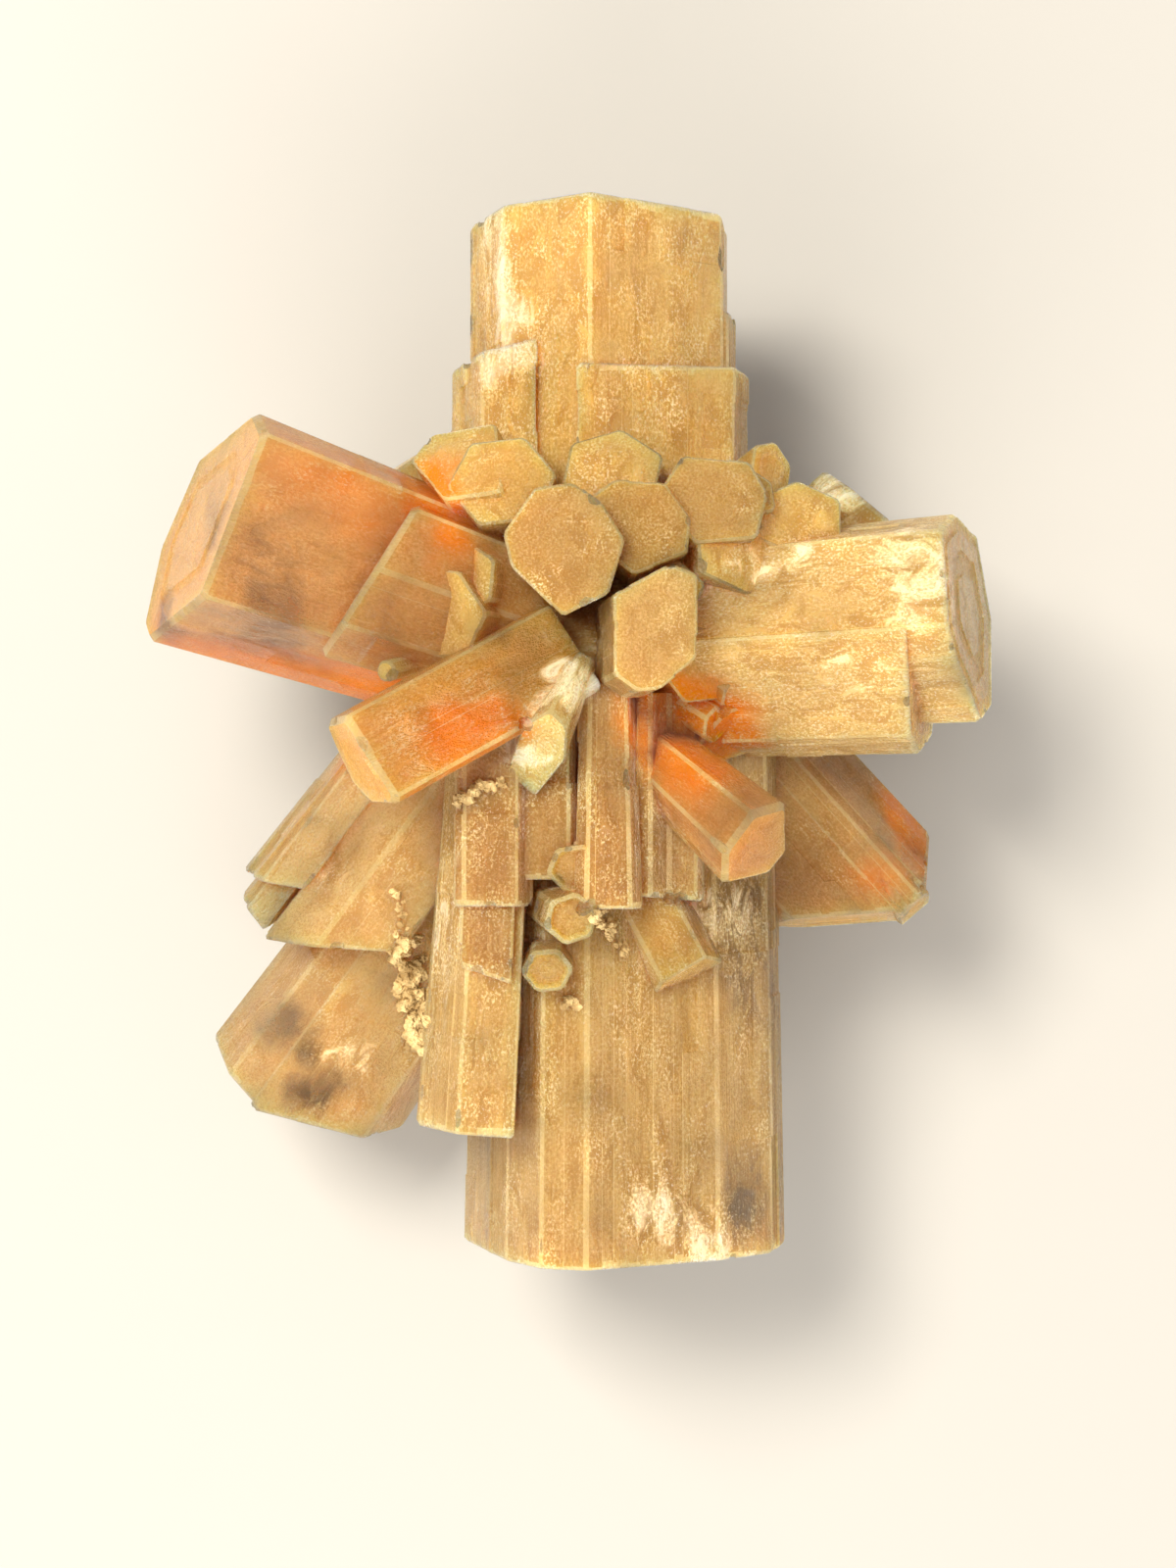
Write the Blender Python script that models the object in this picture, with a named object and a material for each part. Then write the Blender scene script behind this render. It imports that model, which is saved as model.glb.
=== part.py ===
"""Aragonite cluster: six-sided prisms that grew outwards from one core, fused in one solid.

Each crystal is described in its own frame. w runs out along its axis, u runs across it to the left of w
when seen from above, and v is its upper side. Its growths are parallel prisms, each with an outline, a
length and an end that may slope, so that a shorter growth leaves a ledge along a longer one.
All the tables are in millimetres and degrees, measured from the middle of the core.
"""

import math
from collections import namedtuple

import bmesh
import bpy
from mathutils import Matrix, Vector

MM = 0.001
TINY = 1e-6         # metres; edges shorter than this are closed up
FLOOR = -16.2       # height of the surface that the cluster rests on
STANDING = 55.0     # above this elevation, v points along +Y rather than up
HONEY = (0.80, 0.56, 0.28)

Crystal = namedtuple("Crystal", "name azimuth elevation root growths")
# outline: corners (u, v); slope: how far the end reaches further out per mm of u and of v;
# start: where the inner end is; taper: size of the inner end, where the outer end is 1
Growth = namedtuple("Growth", "outline end slope start taper", defaults=((0, 0), 0.0, 1.0))


def hexagon(size, turn=0.0, wide=1.0):
    """Corners of a six-sided section, size from the middle to a corner, stretched along u."""
    angles = [math.radians(turn + 60 * side) for side in range(6)]
    return tuple((size * wide * math.cos(a), size * math.sin(a)) for a in angles)


# The four big arms of the cross, and the clear and broken prisms between them.
ARMS = (
    Crystal("upper_arm", 90, -3, (0.6, 0, 0), (
        Growth(((6.6, -3.4), (6.6, 1.4), (4.9, 4.9), (0.5, 7.3), (-6.2, 3.5), (-6.6, 0.4), (-6.3, -3.4),
                (-0.4, -7.0)),
               20.8, (0, 0.09), 2.5),
        Growth(((7.6, -2.4), (7.6, 1.6), (5.9, 4.9), (3.1, 6.4), (3.0, -3.0)), 14.0, (-0.1, 0.1), 3),
        Growth(((1.2, 7.7), (-6.8, 4.4), (-7.6, 1.4), (-7.3, -3.5), (-3.0, -4.0), (1.0, 0.0)),
               12.9, (-0.04, 0), 3.2),
        Growth(((-5.0, 3.6), (-6.5, 3.0), (-6.95, 1.0), (-6.9, -2.5), (-5.0, -3.0)), 16.2, (0, 0), 4),
    )),
    Crystal("left_arm", 161.3, 22, (-0.9, 0.3, -2.2), (
        Growth(((-4.9, 3.7), (-3.9, 6.4), (4.5, 5.3), (7.4, -1.6), (6.8, -3.2), (2.7, -5.0),
                (-2.2, -3.4)),
               20.7, (0, 0), 0, 0.85),
        Growth(((-3.4, 5.0), (-2.9, 7.3), (0.5, 7.5), (3.6, 6.6), (5.4, 3.6), (0.0, 0.0)),
               11.2, (0.25, 0.3), 0, 0.9),
    )),
    Crystal("right_arm", 2.8, 14, (0.1, -1.5, 0), (
        Growth(((6.5, 1.2), (5.5, 5.5), (0.8, 6.4), (-0.8, 5.0), (-3.9, 0.0), (-3.1, -3.5), (1.5, -6.0),
                (5.7, -4.0)),
               19.7, (-0.05, -0.04), 0, 0.9),
        Growth(((0.8, 6.6), (-4.5, 3.4), (-5.4, 0.2), (-4.5, -3.6), (0.5, -5.0), (2.5, 2.0)),
               17.3, (0.1, 0), 0, 0.9),
    )),
    Crystal("lower_arm", 270, -3, (1.8, 0, 0), (
        Growth(((-8.3, -1.5), (-6.0, 4.6), (-4.2, 6.8), (-1.9, 7.3), (4.8, 4.5), (7.7, 2.3), (8.4, -0.5),
                (6.4, -5.0), (0.0, -7.2), (-6.8, -5.2)),
               31.3, (0, 0), 3, 0.93),
    )),
    Crystal("lower_arm_side", 266.5, 0, (-4.6, 0, 2.5), (
        Growth(((-2.6, -1.0), (-2.4, 1.2), (-0.4, 4.6), (2.5, 5.0), (2.6, -2.0), (-1.5, -3.5)),
               24.8, (0, 0), 2, 0.85),
    )),
    Crystal("near_left_prism", 233, -8, (-2.0, 1.5, 0.5), (
        Growth(((-4.6, -0.5), (-3.4, 3.0), (-1.2, 3.9), (-1.2, -2.5)), 17.8, (-0.6, 0), 0, 0.85),
        Growth(((-4.0, -0.6), (-3.2, 1.5), (-1.7, 2.6), (-1.4, -3.0), (-2.8, -3.0)),
               22.0, (0.1, 0), 0, 0.85),
        Growth(((-1.5, 3.4), (1.0, 4.4), (4.6, 3.4), (4.6, -3.0), (0.0, -4.2), (-1.6, -3.1)),
               21.1, (-0.62, 0), 0, 0.85),
    )),
    Crystal("far_left_prism", 234.2, -10, (1.2, -0.85, -1.5), (
        Growth(((-5.4, 0.0), (-3.4, 3.2), (-1.3, 4.4), (-1.2, -4.4), (-3.6, -3.4)),
               28.9, (0.0, 0.1), 0, 0.8),
        Growth(((-1.6, 4.5), (4.3, 3.0), (5.6, -0.2), (4.2, -3.4), (-1.3, -4.5)),
               28.8, (-0.3, 0.1), 0, 0.8),
    )),
    Crystal("right_back_prism", -49, 8, (1.5, 1.2, -6), (
        Growth(((1.2, 3.7), (-3.6, 3.4), (-5.1, 0.0), (-3.2, -3.6), (1.1, -3.7)), 20.9, (0.75, 0), 0, 0.85),
        Growth(((2.8, 3.1), (2.2, 3.8), (0.6, 3.8), (0.7, -3.8), (2.7, -3.9)), 21.8, (0, 0), 0, 0.88),
        Growth(((4.9, 0.4), (2.6, 3.2), (2.5, -3.6)), 24.2, (-1.0, 0), 0, 0.9),
    )),
    Crystal("upper_right_prism", 42, 2, (3.6, -4.0, -1), (
        Growth(((3.7, 0.4), (2.1, 3.0), (-2.4, 3.2), (-3.6, 0.0), (-1.8, -3.2), (1.8, -3.2)),
               15.2, (-0.14, 0)),
        Growth(((4.9, 0.6), (3.9, 2.0), (2.0, 2.0), (2.0, -2.0), (4.4, -1.4)), 12.6),
    )),
    Crystal("upper_left_bit", 140, 8, (0, 0, 0.5), (Growth(hexagon(2.1, 10), 13.0, (0.3, 0)),)),
)

# The crown that points straight up, and the two orange prisms that lean out of it.
CROWN = (
    Crystal("crown_left", 270, 87, (-1.2, 4.4, 0), (
        Growth(((-2.9, 0.7), (-1.3, 3.0), (0.5, 3.2), (1.9, 2.2), (3.0, 0.4), (2.2, -2.2), (0.0, -3.3),
                (-2.5, -0.9)),
               11.2),
    )),
    Crystal("crown_right", 20, 81, (1.5, -0.6, 0), (
        Growth(((-2.0, 1.6), (0.8, 3.1), (2.1, 2.6), (2.1, -1.5), (0.2, -3.0), (-0.9, -3.1),
                (-2.0, -2.3)),
               11.7),
    )),
    Crystal("crown_middle", 60, 84, (1.7, 4.3, 0), (
        Growth(((-2.4, 1.0), (-0.9, 2.1), (1.5, 2.0), (2.8, 0.2), (2.6, -1.6), (0.0, -2.6),
                (-1.6, -1.4)),
               9.9),
    )),
    Crystal("crown_back_right", 50, 80, (4.0, 5.2, 0), (
        Growth(((-1.4, 0.6), (-0.4, 2.1), (2.9, 1.8), (3.8, 0.2), (3.2, -2.0), (0.1, -2.3),
                (-1.6, -0.3)),
               9.3),
        Growth(((2.6, 2.0), (4.1, 1.0), (4.3, -0.4), (3.0, -1.0)), 8.6),
    )),
    Crystal("crown_back_left", 120, 56, (-3.9, 4.1, 0), (
        Growth(((-2.6, 0.2), (-1.8, 1.7), (1.5, 2.3), (2.6, -1.8), (-0.4, -2.2)), 8.7),
    )),
    Crystal("clear_prism", 245, 25, (-0.4, -1.6, 7.6), (
        Growth(((-1.2, 0.4), (-0.3, 2.0), (0.8, 1.8), (1.4, 0.2), (0.8, -2.6), (-1.0, -2.4)),
               5.0, (0.2, -0.5), 0, 0.6),
    )),
    Crystal("orange_left", 209.5, 20, (-0.5, -0.5, 3.0), (
        Growth(((-2.6, 1.4), (-2.2, 4.5), (2.4, 5.3), (2.7, 4.5), (2.1, 1.6), (0.6, 0.4), (-1.1, 0.8)),
               14.0, (0, 0), 2),
    )),
    Crystal("orange_right", -43, 33, (2.4, -5.8, 4.0), (
        Growth(((1.5, 2.4), (3.0, 0.7), (1.4, -2.5), (-0.1, -2.7), (-2.0, -0.2), (-0.8, 1.9)),
               9.0, (0, 0), -5.0, 0.6),
    )),
    Crystal("amber_wedge", -26, 16, (1.0, -1.6, 2.4), (Growth(hexagon(2.2, 20), 7.8, (0.5, -0.4)),)),
    Crystal("tooth", 200, 62, (-8.6, -1.5, 5.0), (Growth(hexagon(0.6, 0), 3.0),)),
    Crystal("crown_front_chip", 300, 80, (3.4, 3.0, 2), (Growth(hexagon(1.4, 10, 1.3), 6.6, (0, -0.3)),)),
    Crystal("crown_left_chip", 180, 72, (-4.4, 2.6, 1), (Growth(hexagon(2.0, 25, 1.2), 6.4, (0.4, 0)),)),
    Crystal("crown_right_chip", 35, 50, (6.0, 6.0, 0), (Growth(hexagon(1.5, 15), 6.0, (0.3, 0)),)),
    Crystal("crown_gap_upper_left", 110, 78, (-3.6, 5.6, 0),
    (Growth(hexagon(2.3, 5, 1.2), 8.6, (0.1, 0.2)),)),
    Crystal("crown_gap_upper", 80, 82, (1.0, 6.6, 0), (Growth(hexagon(2.2, 20, 1.2), 8.7, (0, -0.2)),)),
    Crystal("crown_gap_right", 20, 75, (5.6, 3.4, 0), (Growth(hexagon(2.4, 35, 1.2), 8.4, (-0.2, 0.1)),)),
    Crystal("crown_gap_front_right", -40, 70, (3.8, 0.0, 0), (Growth(hexagon(2.2, 10), 7.4, (0.2, 0.1)),)),
    Crystal("crown_gap_left", 175, 70, (-4.6, 0.6, 0), (Growth(hexagon(2.4, 0, 1.1), 8.0, (0.1, 0.3)),)),
    Crystal("crown_gap_far_right", 30, 62, (7.0, 3.6, 0), (Growth(hexagon(2.0, 25, 1.2), 8.2, (0.3, 0)),)),
)

# Short stepped growths on the upper side of the lower arm.
STEPS = (
    Crystal("left_block", 270, 0, (-4.9, 0, 3.0), (
        Growth(((-1.8, -1.0), (-1.7, 4.4), (-1.2, 5.1), (1.5, 5.3), (2.2, 3.8), (2.2, -1.0)),
               13.5, (0, 0), 4),
    )),
    Crystal("left_low_block", 268, 0, (-4.3, 0, 3.0), (
        Growth(((-1.6, -1.0), (-1.5, 4.3), (1.2, 4.7), (1.4, -1.0)), 17.6, (0.3, -0.15), 5),
    )),
    Crystal("inner_block", 270, 0, (-2.1, 0, 3.0), (
        Growth(((-1.5, -1.0), (-1.4, 4.4), (1.2, 4.8), (1.6, 4.0), (1.6, -1.0)), 12.2, (0, 0), 3),
    )),
    Crystal("middle_block", 270, 0, (0.9, 0, 3.0), (
        Growth(((-1.7, -1.0), (-1.7, 5.2), (-1.0, 5.8), (1.2, 5.6), (1.8, 4.6), (1.9, -1.0)),
               13.6, (0, 0), 2.6, 0.8),
    )),
    Crystal("right_block", 270, 0, (4.2, 0, 2.5), (
        Growth(((-2.0, -1.0), (-1.9, 4.4), (-1.1, 4.4), (-0.2, 3.4), (1.2, 3.3), (1.6, 2.6),
                (1.6, -1.0)),
               13.2, (0.1, 0), 3),
    )),
    Crystal("leaning_stub", -62, 5, (2.2, -12.4, 2.9), (
        Growth(((-2.0, 0.5), (-1.0, 2.6), (1.5, 3.0), (2.2, 0.5), (0.0, -1.5)), 5.8, (0, -0.2), 0.8),
    )),
    Crystal("small_upper_stub", 270, 85, (-0.6, -11.1, 2), (Growth(hexagon(1.3, 10, 1.15), 6.4),)),
    Crystal("small_middle_stub", -30, 76, (-2.3, -13.2, 2), (Growth(hexagon(1.35, 20, 1.05), 7.2),)),
    Crystal("small_lower_stub", 265, 80, (-1.9, -15.6, 2), (Growth(hexagon(1.2, 5, 1.1), 6.1),)),
)

# The core, and the crystals underneath that the cluster stands on.
UNDERSIDE = (
    Crystal("core", 0, 90, (0, 0, 0), (Growth(hexagon(5.8, 15), 1.0, (0, 0), -7.0, 0.9),)),
    Crystal("foot", 270, -90, (0.3, -2.0, 0), (
        Growth(hexagon(6.3, 12, 1.1), -FLOOR, (0, 0), 0, 0.8),
        Growth(((-5.5, 4.6), (-1.0, 6.4), (2.4, 5.0), (0.0, 0.0)), 13.4, (0, 0), 0, 0.8),
    )),
    Crystal("under_left", 158, -40, (0, 0, 0), (
        Growth(hexagon(4.7, 8), 17.6, (0, 0), 0, 0.8),
        Growth(((1.0, 4.6), (4.9, 2.2), (4.6, -2.6), (0.5, -4.0)), 15.2, (0, 0), 0, 0.8),
    )),
    Crystal("under_back", 96, -42, (0, 0, 0), (
        Growth(hexagon(5.0, 22, 1.1), 17.6, (0, 0), 0, 0.8),
        Growth(((-1.0, 5.2), (-5.6, 2.6), (-4.0, -3.4), (0.0, -2.0)), 14.0, (0, 0), 0, 0.8),
    )),
    Crystal("under_right", 4, -34, (0, 0, 0), (
        Growth(hexagon(4.7, 0), 18.6, (0, 0), 0, 0.8),
        Growth(((-0.5, 4.4), (-4.9, 0.4), (-2.4, -4.4), (1.5, -2.0)), 15.4, (0, 0), 0, 0.8),
    )),
    Crystal("under_front", 262, -38, (0, 0, 0), (Growth(hexagon(5.2, 14), 17.4, (0, 0), 0, 0.8),)),
)

CRYSTALS = ARMS + CROWN + STEPS + UNDERSIDE


def frame_of(crystal):
    """Unit vectors u, v, w of a crystal."""
    turn, rise = math.radians(crystal.azimuth), math.radians(crystal.elevation)
    w = Vector((math.cos(rise) * math.cos(turn), math.cos(rise) * math.sin(turn), math.sin(rise)))
    upwards = Vector((0, 1, 0)) if abs(crystal.elevation) > STANDING else Vector((0, 0, 1))
    u = upwards.cross(w).normalized()
    return u, w.cross(u), w


def solid(name, shape):
    """A new object that takes a bmesh, which is freed."""
    bmesh.ops.recalc_face_normals(shape, faces=shape.faces)
    mesh = bpy.data.meshes.new(name)
    shape.to_mesh(mesh)
    shape.free()
    return bpy.data.objects.new(name, mesh)


def prism(crystal, growth, name):
    """One growth as a closed prism, in metres from the middle of the core."""
    u, v, w = frame_of(crystal)
    root = Vector(crystal.root)
    sides = len(growth.outline)
    shape = bmesh.new()
    bmesh.ops.create_cone(shape, cap_ends=True, segments=sides, radius1=1, radius2=1, depth=2)
    for vertex in shape.verts:
        turn = math.atan2(vertex.co.x, vertex.co.y)
        across, up = growth.outline[round(turn * sides / math.tau) % sides]
        if vertex.co.z > 0:
            reach = growth.end + growth.slope[0] * across + growth.slope[1] * up
            corner = root + u * across + v * up + w * reach
        else:
            corner = root + (u * across + v * up) * growth.taper + w * growth.start
        vertex.co = corner * MM
    return solid(name, shape)


def stand_on_origin(objects):
    """Move the meshes so that the box around them stands centred on the origin."""
    corners = [vertex.co for obj in objects for vertex in obj.data.vertices]
    low = [min(corner[axis] for corner in corners) for axis in range(3)]
    high = [max(corner[axis] for corner in corners) for axis in range(3)]
    move = -Vector(((low[0] + high[0]) / 2, (low[1] + high[1]) / 2, low[2]))
    for obj in objects:
        obj.data.transform(Matrix.Translation(move))


def pocket_faces(shape):
    """Faces of the closed pockets between the growths: every loose shell but the largest."""
    shells = []
    left = set(shape.faces)
    while left:
        shell = [left.pop()]
        for face in shell:
            near = {other for edge in face.edges for other in edge.link_faces} & left
            left -= near
            shell.extend(near)
        shells.append(shell)
    shells.sort(key=len)
    return [face for shell in shells[:-1] for face in shell]


def fused(cluster, others):
    """The growths as one mesh, solid all the way through."""
    fuse = cluster.modifiers.new("fuse", "BOOLEAN")
    fuse.operation = "UNION"
    fuse.operand_type = "COLLECTION"
    fuse.collection = others
    fuse.solver = "EXACT"
    depsgraph = bpy.context.evaluated_depsgraph_get()
    mesh = bpy.data.meshes.new_from_object(cluster.evaluated_get(depsgraph))
    cluster.modifiers.remove(fuse)
    shape = bmesh.new()
    shape.from_mesh(mesh)
    bmesh.ops.dissolve_degenerate(shape, dist=TINY, edges=shape.edges)
    bmesh.ops.delete(shape, geom=pocket_faces(shape), context="FACES")
    shape.to_mesh(mesh)
    shape.free()
    return mesh


def honey_stone():
    material = bpy.data.materials.new("honey_aragonite")
    material.use_nodes = True
    shader = material.node_tree.nodes["Principled BSDF"]
    shader.inputs["Base Color"].default_value = (*HONEY, 1.0)
    shader.inputs["Roughness"].default_value = 0.3
    shader.inputs["Metallic"].default_value = 0.0
    return material


def collection(name):
    made = bpy.data.collections.new(name)
    bpy.context.scene.collection.children.link(made)
    return made


def main():
    for old in list(bpy.data.objects):
        bpy.data.objects.remove(old)
    pieces = [
        prism(crystal, growth, f"{crystal.name}_{number}")
        for crystal in CRYSTALS
        for number, growth in enumerate(crystal.growths)
    ]
    stand_on_origin(pieces)
    cluster, *others = pieces
    cluster.name = "aragonite_cluster"
    collection("aragonite_specimen").objects.link(cluster)
    joined = collection("growths_to_join")
    for growth in others:
        growth.hide_render = True
        growth.display_type = "WIRE"
        joined.objects.link(growth)
    cluster.data = fused(cluster, joined)
    cluster.data.materials.append(honey_stone())


main()
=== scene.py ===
"""Aragonite cluster on a pale floor, seen from straight above.

The crystals are built again on the same axes as the solid, with worn rims, stepped sides and terraced ends,
and fused in one mesh. Each corner of it keeps its place along its own crystal, which the material reads.
"""

import math
import random
from collections import namedtuple

import bmesh
import bpy
from mathutils import Matrix, Vector, noise
from mathutils.bvhtree import BVHTree


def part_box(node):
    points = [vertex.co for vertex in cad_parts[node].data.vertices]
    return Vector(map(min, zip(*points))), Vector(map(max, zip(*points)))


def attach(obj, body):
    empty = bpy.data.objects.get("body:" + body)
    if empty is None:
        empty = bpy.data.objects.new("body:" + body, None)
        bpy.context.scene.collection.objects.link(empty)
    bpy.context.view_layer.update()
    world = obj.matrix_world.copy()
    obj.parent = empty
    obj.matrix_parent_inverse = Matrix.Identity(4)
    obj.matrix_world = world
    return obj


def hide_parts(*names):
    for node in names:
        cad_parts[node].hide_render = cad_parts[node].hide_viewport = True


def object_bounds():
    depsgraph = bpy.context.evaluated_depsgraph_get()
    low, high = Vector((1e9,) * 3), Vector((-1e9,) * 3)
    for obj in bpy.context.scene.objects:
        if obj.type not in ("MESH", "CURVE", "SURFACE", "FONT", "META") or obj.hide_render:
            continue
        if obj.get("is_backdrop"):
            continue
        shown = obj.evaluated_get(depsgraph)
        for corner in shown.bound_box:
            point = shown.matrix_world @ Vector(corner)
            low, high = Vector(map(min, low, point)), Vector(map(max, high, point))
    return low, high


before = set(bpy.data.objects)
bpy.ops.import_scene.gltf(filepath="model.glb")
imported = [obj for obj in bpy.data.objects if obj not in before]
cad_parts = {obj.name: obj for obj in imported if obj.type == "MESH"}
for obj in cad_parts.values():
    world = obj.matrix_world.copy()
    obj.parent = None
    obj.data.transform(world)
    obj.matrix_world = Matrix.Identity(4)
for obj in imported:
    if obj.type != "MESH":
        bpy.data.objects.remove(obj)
SOLID_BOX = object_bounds()

NOISE_SEED = 21     # without a seed, noise vectors differ from run to run
noise.seed_set(NOISE_SEED)

MM = 0.001
TINY = 1e-6         # metres; edges shorter than this are closed up
FLOOR = -16.2       # height of the surface that the cluster rests on, in mm from the core
STANDING = 55.0     # above this elevation, v points along +Y rather than up

# Angles in degrees and places in mm from the core.
Crystal = namedtuple("Crystal", "name azimuth elevation root growths")
# outline: corners (u, v); slope: how far the end reaches further out per mm of u and of v;
# start: where the inner end is; taper: size of the inner end, where the outer end is 1
Growth = namedtuple("Growth", "outline end slope start taper", defaults=((0, 0), 0.0, 1.0))


def hexagon(size, turn=0.0, wide=1.0):
    """Corners of a six-sided section, size from the middle to a corner, stretched along u."""
    angles = [math.radians(turn + 60 * side) for side in range(6)]
    return tuple((size * wide * math.cos(a), size * math.sin(a)) for a in angles)


# The four big arms of the cross, and the clear and broken prisms between them.
ARMS = (
    Crystal("upper_arm", 90, -3, (0.6, 0, 0), (
        Growth(((6.6, -3.4), (6.6, 1.4), (4.9, 4.9), (0.5, 7.3), (-6.2, 3.5), (-6.6, 0.4), (-6.3, -3.4),
                (-0.4, -7.0)),
               20.8, (0, 0.09), 2.5),
        Growth(((7.6, -2.4), (7.6, 1.6), (5.9, 4.9), (3.1, 6.4), (3.0, -3.0)), 14.0, (-0.1, 0.1), 3),
        Growth(((1.2, 7.7), (-6.8, 4.4), (-7.6, 1.4), (-7.3, -3.5), (-3.0, -4.0), (1.0, 0.0)),
               12.9, (-0.04, 0), 3.2),
        Growth(((-5.0, 3.6), (-6.5, 3.0), (-6.95, 1.0), (-6.9, -2.5), (-5.0, -3.0)), 16.2, (0, 0), 4),
    )),
    Crystal("left_arm", 161.3, 22, (-0.9, 0.3, -2.2), (
        Growth(((-4.9, 3.7), (-3.9, 6.4), (4.5, 5.3), (7.4, -1.6), (6.8, -3.2), (2.7, -5.0),
                (-2.2, -3.4)),
               20.7, (0, 0), 0, 0.85),
        Growth(((-3.4, 5.0), (-2.9, 7.3), (0.5, 7.5), (3.6, 6.6), (5.4, 3.6), (0.0, 0.0)),
               11.2, (0.25, 0.3), 0, 0.9),
    )),
    Crystal("right_arm", 2.8, 14, (0.1, -1.5, 0), (
        Growth(((6.5, 1.2), (5.5, 5.5), (0.8, 6.4), (-0.8, 5.0), (-3.9, 0.0), (-3.1, -3.5), (1.5, -6.0),
                (5.7, -4.0)),
               19.7, (-0.05, -0.04), 0, 0.9),
        Growth(((0.8, 6.6), (-4.5, 3.4), (-5.4, 0.2), (-4.5, -3.6), (0.5, -5.0), (2.5, 2.0)),
               17.3, (0.1, 0), 0, 0.9),
    )),
    Crystal("lower_arm", 270, -3, (1.8, 0, 0), (
        Growth(((-8.3, -1.5), (-6.0, 4.6), (-4.2, 6.8), (-1.9, 7.3), (4.8, 4.5), (7.7, 2.3), (8.4, -0.5),
                (6.4, -5.0), (0.0, -7.2), (-6.8, -5.2)),
               31.3, (0, 0), 3, 0.93),
    )),
    Crystal("lower_arm_side", 266.5, 0, (-4.6, 0, 2.5), (
        Growth(((-2.6, -1.0), (-2.4, 1.2), (-0.4, 4.6), (2.5, 5.0), (2.6, -2.0), (-1.5, -3.5)),
               24.8, (0, 0), 2, 0.85),
    )),
    Crystal("near_left_prism", 233, -8, (-2.0, 1.5, 0.5), (
        Growth(((-4.6, -0.5), (-3.4, 3.0), (-1.2, 3.9), (-1.2, -2.5)), 17.8, (-0.6, 0), 0, 0.85),
        Growth(((-4.0, -0.6), (-3.2, 1.5), (-1.7, 2.6), (-1.4, -3.0), (-2.8, -3.0)),
               22.0, (0.1, 0), 0, 0.85),
        Growth(((-1.5, 3.4), (1.0, 4.4), (4.6, 3.4), (4.6, -3.0), (0.0, -4.2), (-1.6, -3.1)),
               21.1, (-0.62, 0), 0, 0.85),
    )),
    Crystal("far_left_prism", 234.2, -10, (1.2, -0.85, -1.5), (
        Growth(((-5.4, 0.0), (-3.4, 3.2), (-1.3, 4.4), (-1.2, -4.4), (-3.6, -3.4)),
               28.9, (0.0, 0.1), 0, 0.8),
        Growth(((-1.6, 4.5), (4.3, 3.0), (5.6, -0.2), (4.2, -3.4), (-1.3, -4.5)),
               28.8, (-0.3, 0.1), 0, 0.8),
    )),
    Crystal("right_back_prism", -49, 8, (1.5, 1.2, -6), (
        Growth(((1.2, 3.7), (-3.6, 3.4), (-5.1, 0.0), (-3.2, -3.6), (1.1, -3.7)), 20.9, (0.75, 0), 0, 0.85),
        Growth(((2.8, 3.1), (2.2, 3.8), (0.6, 3.8), (0.7, -3.8), (2.7, -3.9)), 21.8, (0, 0), 0, 0.88),
        Growth(((4.9, 0.4), (2.6, 3.2), (2.5, -3.6)), 24.2, (-1.0, 0), 0, 0.9),
    )),
    Crystal("upper_right_prism", 42, 2, (3.6, -4.0, -1), (
        Growth(((3.7, 0.4), (2.1, 3.0), (-2.4, 3.2), (-3.6, 0.0), (-1.8, -3.2), (1.8, -3.2)),
               15.2, (-0.14, 0)),
        Growth(((4.9, 0.6), (3.9, 2.0), (2.0, 2.0), (2.0, -2.0), (4.4, -1.4)), 12.6),
    )),
    Crystal("upper_left_bit", 140, 8, (0, 0, 0.5), (Growth(hexagon(2.1, 10), 13.0, (0.3, 0)),)),
)

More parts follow.
